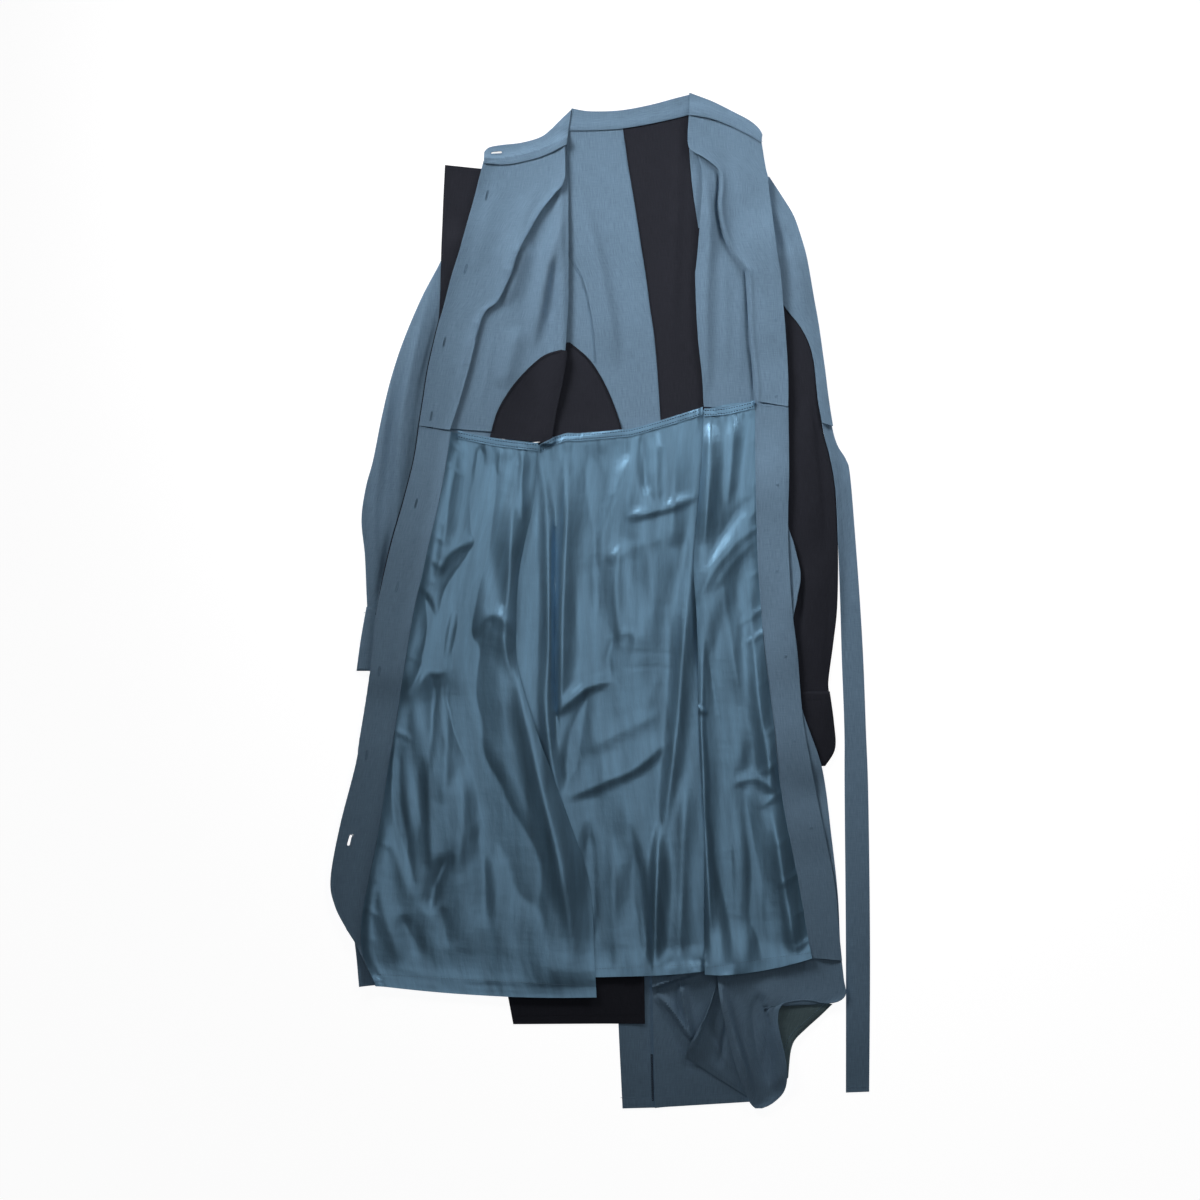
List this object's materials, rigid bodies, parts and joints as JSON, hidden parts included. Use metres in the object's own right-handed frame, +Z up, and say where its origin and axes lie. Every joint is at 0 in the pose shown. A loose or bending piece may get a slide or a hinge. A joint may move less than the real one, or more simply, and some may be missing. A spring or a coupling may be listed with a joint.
{
  "type": "shirt dress",
  "caption": "Long-sleeved shirt dress in blue and black cloth, laid open flat with its satin-lined inside up, band collar, button stands and tie belt.",
  "frame": {"origin": "centre of the covered rectangle, at the surface that the dress lies on", "axes": "+Z up from the surface, +Y towards the collar, +X towards the button side of the front"},
  "size_m": [0.6467, 1.22, 0.0227],
  "materials": {
    "cloth_blue": "matt fine weave",
    "cloth_black": "matt fine weave",
    "lining_satin": "satin sheen",
    "button_resin": "polished"
  },
  "bodies": {
    "root": {"back_centre": "cloth_blue", "back_inset": "cloth_black", "back_lining": "lining_satin", "back_neck_band": "cloth_blue", "back_side_left": "cloth_blue", "back_side_right": "cloth_black", "back_skirt_black": "cloth_black", "back_skirt_blue": "cloth_blue", "back_vent_facing": "cloth_blue", "back_waist_casing": "lining_satin", "button_01": "button_resin", "button_02": "button_resin", "button_03": "button_resin", "button_04": "button_resin", "button_05": "button_resin", "button_06": "button_resin", "button_07": "button_resin", "button_08": "button_resin", "button_09": "button_resin", "button_10": "button_resin", "left_button_stand": "cloth_blue", "left_cuff": "cloth_blue", "left_facing": "cloth_blue", "left_front": "cloth_blue", "left_lining": "lining_satin", "left_neck_band": "cloth_blue", "left_shoulder_panel": "cloth_black", "left_skirt_black": "cloth_black", "left_skirt_blue": "cloth_blue", "left_sleeve": "cloth_blue", "left_waist_casing": "lining_satin", "right_button_stand": "cloth_blue", "right_cuff": "cloth_black", "right_facing": "cloth_blue", "right_front": "cloth_blue", "right_hem_curl": "cloth_blue", "right_hem_turn": "cloth_blue", "right_lining": "lining_satin", "right_neck_band": "cloth_blue", "right_shoulder_strip": "cloth_blue", "right_skirt": "cloth_blue", "right_sleeve_black": "cloth_black", "right_sleeve_blue": "cloth_blue", "right_waist_casing": "lining_satin", "tie_belt": "cloth_blue", "waist_patch_back": "cloth_black", "waist_patch_front": "cloth_black"}
  },
  "joints": []
}
